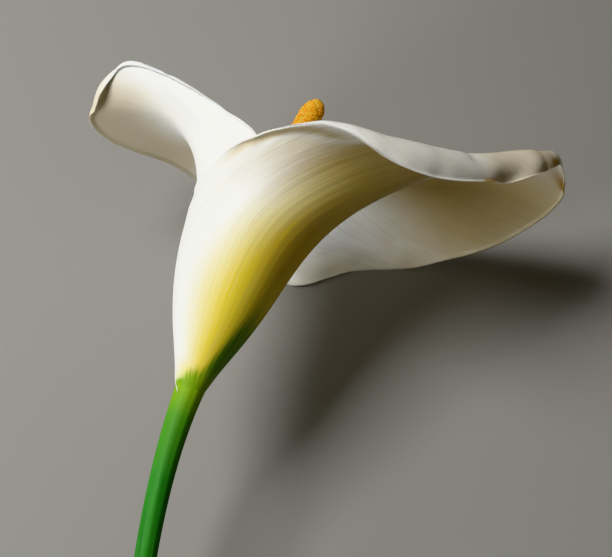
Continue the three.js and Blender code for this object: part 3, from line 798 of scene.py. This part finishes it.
stem_flesh, tree = bare_material("cut_stem_flesh")
place = add_node(tree, "ShaderNodeTexCoord").outputs["Object"]
pores, strand_ends = (
    add_node(tree, "ShaderNodeTexVoronoi", {"Vector": place, "Scale": each_mm / MM}).outputs["Distance"]
    for each_mm in (PORES_PER_MM, STRAND_ENDS_PER_MM)
)
spongy = add_node(tree, "ShaderNodeMapRange", {"Value": pores, 1: 0.1, 2: 0.6}).outputs[0]
ends = add_node(tree, "ShaderNodeMapRange", {"Value": strand_ends, 1: 0.22, 2: 0.14}).outputs[0]
colour = linear(FLESH_GREEN)
for share, tint in ((spongy, FLESH_PALE), (ends, FLESH_STRAND)):
    colour = add_node(tree, "ShaderNodeMix", {0: share, 6: colour, 7: linear(tint)},
                      data_type="RGBA").outputs[2]
bump = add_node(tree, "ShaderNodeBump", {"Height": pores, "Strength": 0.6, "Distance": 0.1 * MM}).outputs[0]
skin = add_node(tree, "ShaderNodeBsdfPrincipled", {
    "Base Color": colour, "Roughness": 0.35, "IOR": 1.36, "Normal": bump,
})
add_node(tree, "ShaderNodeOutputMaterial", {"Surface": skin.outputs[0]})
stem_mesh.materials.append(stem_skin)
stem_mesh.materials.append(stem_flesh)
on_cut = np.zeros(len(stem_faces), dtype=np.int32)
on_cut[:len(cut) * STEM_SIDES] = 1
on_cut[-STEM_SIDES - 1:-1] = 1
stem_mesh.polygons.foreach_set("material_index", on_cut)
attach(stem, "root")
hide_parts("stem")


# Spadix
# The club of tiny flowers up the middle of the spathe, grown on the stem's end. Its lower zone is pale
# green ovaries with a stigma each, and its upper zone is packed yellow anthers, dusted with pollen.
# Each flower sits a golden angle on from the last and a step higher.
SPADIX_BEND = 0.0009
GOLDEN_ANGLE = math.radians(137.508)
CLUB_SIDES = 40
CLUB_RINGS = 90
CLUB_BELOW_TOP = 0.4
SMALLEST_GRAIN = 0.5
LARGEST_GRAIN = 1.3


def spadix_line(heights):
    return np.stack([SPADIX_BEND * heights**2, 0 * heights, heights], -1)


def ringed_mesh(name, rings, attribute):
    """A closed mesh through rings of points, with a point at each end, and a number for each point."""
    count, sides = rings.shape[:2]
    numbers = np.arange(count * sides).reshape(count, sides)
    turned = np.roll(numbers, -1, axis=1)
    faces = np.stack([numbers[:-1], turned[:-1], turned[1:], numbers[1:]], -1).reshape(-1, 4).tolist()
    start = count * sides
    faces += [[start, after, before] for before, after in zip(numbers[0], turned[0])]
    faces += [[start + 1, before, after] for before, after in zip(numbers[-1], turned[-1])]
    points = np.concatenate([rings.reshape(-1, 3), rings[[0, -1]].mean(axis=1)])
    values = np.concatenate([np.repeat(attribute, sides), attribute[[0, -1]]])
    mesh = bpy.data.meshes.new(name)
    mesh.from_pydata(points, [], faces)
    mesh.attributes.new("dome", "FLOAT", "POINT").data.foreach_set("value", values.astype(np.float32))
    mesh.shade_smooth()
    return mesh


def club(zone):
    """The flesh under the florets of one zone, with an elliptical end."""
    shares = np.linspace(0, 1, CLUB_RINGS)
    heights = zone["from"] + (zone["to"] - zone["from"] - CLUB_BELOW_TOP) * np.sin(shares * math.pi / 2)
    past = np.clip((heights - zone["to"] + zone["cap"]) / zone["cap"], 0, 1)
    reaches = zone["radius"] * np.sqrt(1 - past**2)
    turns = np.arange(CLUB_SIDES) * 360 / CLUB_SIDES
    rings = spadix_line(heights)[:, None] + outward(turns)[None] * reaches[:, None, None]
    return ringed_mesh("club", rings, np.zeros(CLUB_RINGS))


def floret(profile, lobes, lobe_depth, sides):
    """One floret, standing along +Z: its profile's reaches and heights, with lobes round it."""
    reaches, heights = np.array(profile).T
    angles = np.arange(sides) * 2 * math.pi / sides
    lobed = reaches[:, None] * (1 + lobe_depth * np.cos(lobes * angles))
    rings = np.stack([lobed * np.cos(angles), lobed * np.sin(angles), heights[:, None] + 0 * lobed], -1)
    dome = np.clip(heights / max(heights), 0, 1)
    return ringed_mesh("floret", rings, dome)


def florets_on_a_club():
    """Geometry Nodes that set a floret on every place of a club, and dust them with pollen grains."""
    tree = bpy.data.node_groups.new("florets_on_a_club", "GeometryNodeTree")
    tree.interface.new_socket("Club", in_out="INPUT", socket_type="NodeSocketGeometry")
    for name, kind in (
        ("Floret", "Object"), ("Count", "Int"), ("From", "Float"), ("To", "Float"), ("Cap", "Float"),
        ("Radius", "Float"), ("Jostle", "Float"), ("Smallest", "Float"), ("Largest", "Float"),
        ("Grain Radius", "Float"), ("Grains per Area", "Float"), ("Seed", "Int"), ("Tissue", "Material"),
        ("Pollen", "Material"),
    ):
        tree.interface.new_socket(name, in_out="INPUT", socket_type="NodeSocket" + kind)
    tree.interface.new_socket("Florets", in_out="OUTPUT", socket_type="NodeSocketGeometry")
    given = add_node(tree, "NodeGroupInput").outputs

    index = add_node(tree, "GeometryNodeInputIndex").outputs[0]
    half_on = add_node(tree, "ShaderNodeMath", {0: index, 1: 0.5}, operation="ADD").outputs[0]
    share = add_node(tree, "ShaderNodeMath", {0: half_on, 1: given["Count"]}, operation="DIVIDE").outputs[0]
    height = add_node(tree, "ShaderNodeMapRange", {
        "Value": share, 3: given["From"], 4: given["To"]}).outputs[0]
    cap_start = add_node(tree, "ShaderNodeMath", {0: given["To"], 1: given["Cap"]}, operation="SUBTRACT")
    above = add_node(tree, "ShaderNodeMath", {0: height, 1: cap_start.outputs[0]}, operation="SUBTRACT")
    past = add_node(tree, "ShaderNodeMath", {0: above.outputs[0], 1: given["Cap"]}, operation="DIVIDE",
                    use_clamp=True).outputs[0]
    squared = add_node(tree, "ShaderNodeMath", {0: past, 1: past}, operation="MULTIPLY").outputs[0]
    left = add_node(tree, "ShaderNodeMath", {0: 1.0, 1: squared}, operation="SUBTRACT").outputs[0]
    ring = add_node(tree, "ShaderNodeMath", {0: left}, operation="SQRT").outputs[0]
    reach = add_node(tree, "ShaderNodeMath", {0: ring, 1: given["Radius"]}, operation="MULTIPLY").outputs[0]
    turn = add_node(tree, "ShaderNodeMath", {0: index, 1: GOLDEN_ANGLE}, operation="MULTIPLY").outputs[0]
    cosine = add_node(tree, "ShaderNodeMath", {0: turn}, operation="COSINE").outputs[0]
    sine = add_node(tree, "ShaderNodeMath", {0: turn}, operation="SINE").outputs[0]
    bend = add_node(tree, "ShaderNodeMath", {0: height, 1: height}, operation="MULTIPLY").outputs[0]
    bend = add_node(tree, "ShaderNodeMath", {0: bend, 1: SPADIX_BEND}, operation="MULTIPLY").outputs[0]
    x = add_node(tree, "ShaderNodeMath", {0: cosine, 1: reach, 2: bend},
                 operation="MULTIPLY_ADD").outputs[0]
    y = add_node(tree, "ShaderNodeMath", {0: sine, 1: reach}, operation="MULTIPLY").outputs[0]
    spot = add_node(tree, "ShaderNodeCombineXYZ", {"X": x, "Y": y, "Z": height}).outputs[0]
    push = add_node(tree, "FunctionNodeRandomValue", {0: (-1, -1, -1), 1: (1, 1, 1), "Seed": given["Seed"]},
                    data_type="FLOAT_VECTOR").outputs[0]
    push = add_node(tree, "ShaderNodeVectorMath", {0: push, "Scale": given["Jostle"]},
                    operation="SCALE").outputs[0]
    spot = add_node(tree, "ShaderNodeVectorMath", {0: spot, 1: push}, operation="ADD").outputs[0]

    steep = add_node(tree, "ShaderNodeMath", {0: given["Radius"], 1: given["Cap"]}, operation="DIVIDE")
    lean = add_node(tree, "ShaderNodeMath", {0: past, 1: steep.outputs[0]}, operation="MULTIPLY").outputs[0]
    lean_x = add_node(tree, "ShaderNodeMath", {0: cosine, 1: ring}, operation="MULTIPLY").outputs[0]
    lean_y = add_node(tree, "ShaderNodeMath", {0: sine, 1: ring}, operation="MULTIPLY").outputs[0]
    away = add_node(tree, "ShaderNodeCombineXYZ", {"X": lean_x, "Y": lean_y, "Z": lean}).outputs[0]
    facing = add_node(tree, "FunctionNodeAlignRotationToVector", {"Vector": away}, axis="Z").outputs[0]
    spin = add_node(tree, "FunctionNodeRandomValue", {3: 2 * math.pi, "Seed": given["Seed"]}).outputs[1]
    own_turn = add_node(tree, "FunctionNodeAxisAngleToRotation", {
        "Axis": (0, 0, 1), "Angle": spin}).outputs[0]
    facing = add_node(tree, "FunctionNodeRotateRotation", {0: facing, 1: own_turn},
                      rotation_space="LOCAL").outputs[0]
    size = add_node(tree, "FunctionNodeRandomValue", {
        2: given["Smallest"], 3: given["Largest"], "Seed": given["Seed"]}).outputs[1]
    tone = add_node(tree, "FunctionNodeRandomValue", {"Seed": given["Seed"]}).outputs[1]

    points = add_node(tree, "GeometryNodePoints", {"Count": given["Count"], "Position": spot}).outputs[0]
    one = add_node(tree, "GeometryNodeObjectInfo", {"Object": given["Floret"]}).outputs["Geometry"]
    many = add_node(tree, "GeometryNodeInstanceOnPoints", {
        "Points": points, "Instance": one, "Rotation": facing, "Scale": size}).outputs[0]
    many = add_node(tree, "GeometryNodeStoreNamedAttribute", {
        "Geometry": many, "Name": "tone", "Value": tone}, domain="INSTANCE").outputs[0]
    many = add_node(tree, "GeometryNodeRealizeInstances", {"Geometry": many}).outputs[0]
    whole = add_node(tree, "GeometryNodeJoinGeometry", {"Geometry": given["Club"]})
    tree.links.new(many, whole.inputs[0])
    whole = add_node(tree, "GeometryNodeSetMaterial", {
        "Geometry": whole.outputs[0], "Material": given["Tissue"]}).outputs[0]

    dust = add_node(tree, "GeometryNodeDistributePointsOnFaces", {
        "Mesh": whole, "Density": given["Grains per Area"], "Seed": given["Seed"]}).outputs["Points"]
    grain = add_node(tree, "GeometryNodeMeshIcoSphere", {
        "Radius": given["Grain Radius"], "Subdivisions": 1}).outputs["Mesh"]
    grain_size = add_node(tree, "FunctionNodeRandomValue", {
        2: SMALLEST_GRAIN, 3: LARGEST_GRAIN, "Seed": given["Seed"]}).outputs[1]
    dust = add_node(tree, "GeometryNodeInstanceOnPoints", {
        "Points": dust, "Instance": grain, "Scale": grain_size}).outputs[0]
    dust = add_node(tree, "GeometryNodeRealizeInstances", {"Geometry": dust}).outputs[0]
    dust = add_node(tree, "GeometryNodeSetMaterial", {
        "Geometry": dust, "Material": given["Pollen"]}).outputs[0]
    both = add_node(tree, "GeometryNodeJoinGeometry", {"Geometry": whole})
    tree.links.new(dust, both.inputs[0])
    smooth = add_node(tree, "GeometryNodeSetShadeSmooth", {"Geometry": both.outputs[0]}).outputs[0]
    add_node(tree, "NodeGroupOutput", {"Florets": smooth})
    return tree


def grown(name, tree, zone, floret_mesh, tissue, pollen):
    """One zone of the spadix as a plain mesh that lies where the flower lies."""
    pattern = bpy.data.objects.new("floret", floret_mesh)
    body = bpy.data.objects.new(name + "_growing", club(zone))
    for item in (pattern, body):
        bpy.context.scene.collection.objects.link(item)
    modifier = body.modifiers.new("florets", "NODES")
    modifier.node_group = tree
    values = {
        "Floret": pattern, "Count": zone["count"], "From": zone["from"] + zone["inset"],
        "To": zone["to"], "Cap": zone["cap"], "Radius": zone["radius"], "Jostle": zone["jostle"],
        "Smallest": zone["smallest"], "Largest": zone["largest"], "Grain Radius": zone["grain"],
        "Grains per Area": zone["grains"], "Seed": zone["seed"], "Tissue": tissue, "Pollen": pollen,
    }
    for socket in tree.interface.items_tree:
        if socket.name in values:
            modifier[socket.identifier] = values[socket.name]
    evaluated = body.evaluated_get(bpy.context.evaluated_depsgraph_get())
    mesh = bpy.data.meshes.new_from_object(evaluated)
    mesh.name = name
    points = np.empty(len(mesh.vertices) * 3)
    mesh.vertices.foreach_get("co", points)
    mesh.vertices.foreach_set("co", (placed(points.reshape(-1, 3)) * MM).ravel())
    mesh.update()
    for item in (pattern, body):
        bpy.data.objects.remove(item)
    result = bpy.data.objects.new(name, mesh)
    bpy.context.scene.collection.objects.link(result)
    return result


# Floret tissue: dry mealy plant tissue, which gives a soft matt look. Its deeper colour at each floret's
# foot and on the club between florets is painted shade in the gaps.
MEAL_PER_MM = 4.0
GAP_SHADE_DOME_SHARE = 0.55


def floret_tissue(name, deep, light, other):
    """Floret tissue with its own tone for each floret, between a light and another colour."""
    material, tree = bare_material(name)
    dome = add_node(tree, "ShaderNodeAttribute", attribute_name="dome").outputs["Fac"]
    tone = add_node(tree, "ShaderNodeAttribute", attribute_name="tone").outputs["Fac"]
    place = add_node(tree, "ShaderNodeTexCoord").outputs["Object"]
    mealy = add_node(tree, "ShaderNodeTexNoise", {
        "Vector": place, "Scale": MEAL_PER_MM / MM, "Detail": 2.0}).outputs["Fac"]
    colour = add_node(tree, "ShaderNodeMix", {0: tone, 6: linear(light), 7: linear(other)},
                      data_type="RGBA").outputs[2]
    # Painted shade: the deep colour darkens each floret's foot and the bare club between florets.
    out_of_gap_shade = add_node(tree, "ShaderNodeMapRange", {"Value": dome, 2: GAP_SHADE_DOME_SHARE}).outputs[0]
    colour = add_node(tree, "ShaderNodeMix", {0: out_of_gap_shade, 6: linear(deep), 7: colour},
                      data_type="RGBA").outputs[2]
    bump = add_node(tree, "ShaderNodeBump", {
        "Height": mealy, "Strength": 0.5, "Distance": 0.05 * MM}).outputs[0]
    skin = add_node(tree, "ShaderNodeBsdfPrincipled", {
        "Base Color": colour, "Roughness": 0.75, "Normal": bump,
        "Subsurface Weight": 0.5, "Subsurface Radius": (1.0, 0.6, 0.2), "Subsurface Scale": MM,
    })
    add_node(tree, "ShaderNodeOutputMaterial", {"Surface": skin.outputs[0]})
    return material


# Pollen: dry pale yellow grains, which give a dusting of matt specks. A grain is too fine to show, so
# each one that is drawn stands for a little clump.
POLLEN_PALE = "#ffe9b8"
POLLEN_GOLD = "#f6c65a"
POLLEN_PATCHES_PER_MM = 0.7

pollen, tree = bare_material("dry_pollen")
place = add_node(tree, "ShaderNodeTexCoord").outputs["Object"]
patchy = add_node(tree, "ShaderNodeTexNoise", {
    "Vector": place, "Scale": POLLEN_PATCHES_PER_MM / MM}).outputs["Fac"]
colour = add_node(tree, "ShaderNodeMix", {0: patchy, 6: linear(POLLEN_PALE), 7: linear(POLLEN_GOLD)},
                  data_type="RGBA").outputs[2]
skin = add_node(tree, "ShaderNodeBsdfPrincipled", {"Base Color": colour, "Roughness": 0.9})
add_node(tree, "ShaderNodeOutputMaterial", {"Surface": skin.outputs[0]})

# Anthers are low blunt domes with four lobes. Ovaries are rounder, with a short style and its stigma.
# A profile is a row of reaches and heights.
ANTHER = ((0.56, -0.3), (0.66, 0), (0.6, 0.14), (0.34, 0.26))
OVARY = (
    (1.2, -0.5), (1.4, 0), (1.3, 0.35), (0.8, 0.65), (0.3, 0.75), (0.26, 0.95), (0.4, 1.05), (0.2, 1.15),
)
POLLEN_ZONE = {
    "from": 27.6, "to": 104.7, "radius": 3.8, "cap": 6, "inset": 0.5, "count": 2300, "seed": 4,
    "jostle": 0.1, "smallest": 0.8, "largest": 1.04, "grain": 0.2, "grains": 0.24,
}
OVARY_ZONE = {
    "from": 6.3, "to": 27.3, "radius": 3.1, "cap": 0.8, "inset": 1.4, "count": 62, "seed": 9,
    "jostle": 0.1, "smallest": 0.9, "largest": 1.08, "grain": 0.1, "grains": 0.0,
}
# The deep colours are painted shade in the gaps between florets.
anther_tissue = floret_tissue("mealy_anther_tissue", deep="#f58d14", light="#ffc444", other="#ff9a22")
ovary_tissue = floret_tissue("fleshy_ovary_tissue", deep="#7d8f3c", light="#b7c274", other="#cdcf86")
packing = florets_on_a_club()
anther = floret(ANTHER, lobes=4, lobe_depth=0.1, sides=8)
ovary = floret(OVARY, lobes=3, lobe_depth=0.05, sides=18)
anthers = grown("spadix_anthers", packing, POLLEN_ZONE, anther, anther_tissue, pollen)
ovaries = grown("spadix_ovaries", packing, OVARY_ZONE, ovary, ovary_tissue, pollen)
for zone_object, node, slot in (
    (anthers, "spadix_pollen_zone", "pollen_orange"), (ovaries, "spadix_ovary_zone", "ovary_green"),
):
    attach(zone_object, "root")
    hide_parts(node)


# Table
# A plain pale surface with a matt finish.
TABLE_SIZE = 6
TABLE_GREY = "#918f8a"
bpy.ops.mesh.primitive_plane_add(size=TABLE_SIZE, location=(0, 0, 0))
table = bpy.context.object
table.name = "table"
table_top, tree = bare_material("pale_table")
skin = add_node(tree, "ShaderNodeBsdfPrincipled", {"Base Color": linear(TABLE_GREY), "Roughness": 0.8})
add_node(tree, "ShaderNodeOutputMaterial", {"Surface": skin.outputs[0]})
table.data.materials.append(table_top)


# Camera
# It looks down on the lying flower, along the line from which the flower was seen.
ELEVATION = 65
DISTANCE = 620
FRAME_RIGHT = 36.48
FRAME_UP = 33.76
LENS = 113.97

tilt = math.radians(ELEVATION)
right = Vector((1, 0, 0))
up = Vector((0, math.sin(tilt), math.cos(tilt)))
back = Vector((0, -math.cos(tilt), math.sin(tilt)))
middle = Vector(BASE) + right * FRAME_RIGHT + up * FRAME_UP
camera_data = bpy.data.cameras.new("camera")
camera_data.lens = LENS
camera_data.sensor_width = 36
camera_data.clip_start = 0.01
camera = bpy.data.objects.new("camera", camera_data)
camera.location = (middle + back * DISTANCE) * MM
camera.rotation_euler = (math.radians(90 - ELEVATION), 0, 0)
bpy.context.scene.collection.objects.link(camera)
bpy.context.scene.camera = camera


# Lights
# A broad studio lamp from above on the left, a weaker one low on the left, a faint one from behind on
# the right, and a dim room. Each lamp: its name, the way to it, its size in metres and its watts.
LAMPS = (
    ("key", (-0.42, 0.26, 0.87), 0.34, 7.4), ("side", (-0.81, -0.47, 0.34), 0.3, 4.0),
    ("fill", (0.5, 0.8, 0.4), 0.6, 0.25),
)
LAMP_DISTANCE = 0.9
ROOM_COLOUR = "#e0d6c0"
ROOM_STRENGTH = 0.06

for name, way, size, power in LAMPS:
    lamp_data = bpy.data.lights.new(name, "AREA")
    lamp_data.size = size
    lamp_data.energy = power
    lamp = bpy.data.objects.new(name, lamp_data)
    lamp.location = Vector(way).normalized() * LAMP_DISTANCE
    lamp.rotation_euler = Vector(way).to_track_quat("Z", "Y").to_euler()
    bpy.context.scene.collection.objects.link(lamp)

world = bpy.data.worlds.new("room")
world.use_nodes = True
room = world.node_tree.nodes["Background"].inputs
room["Color"].default_value = linear(ROOM_COLOUR)
room["Strength"].default_value = ROOM_STRENGTH
bpy.context.scene.world = world
bpy.context.scene.view_settings.view_transform = "Khronos PBR Neutral"
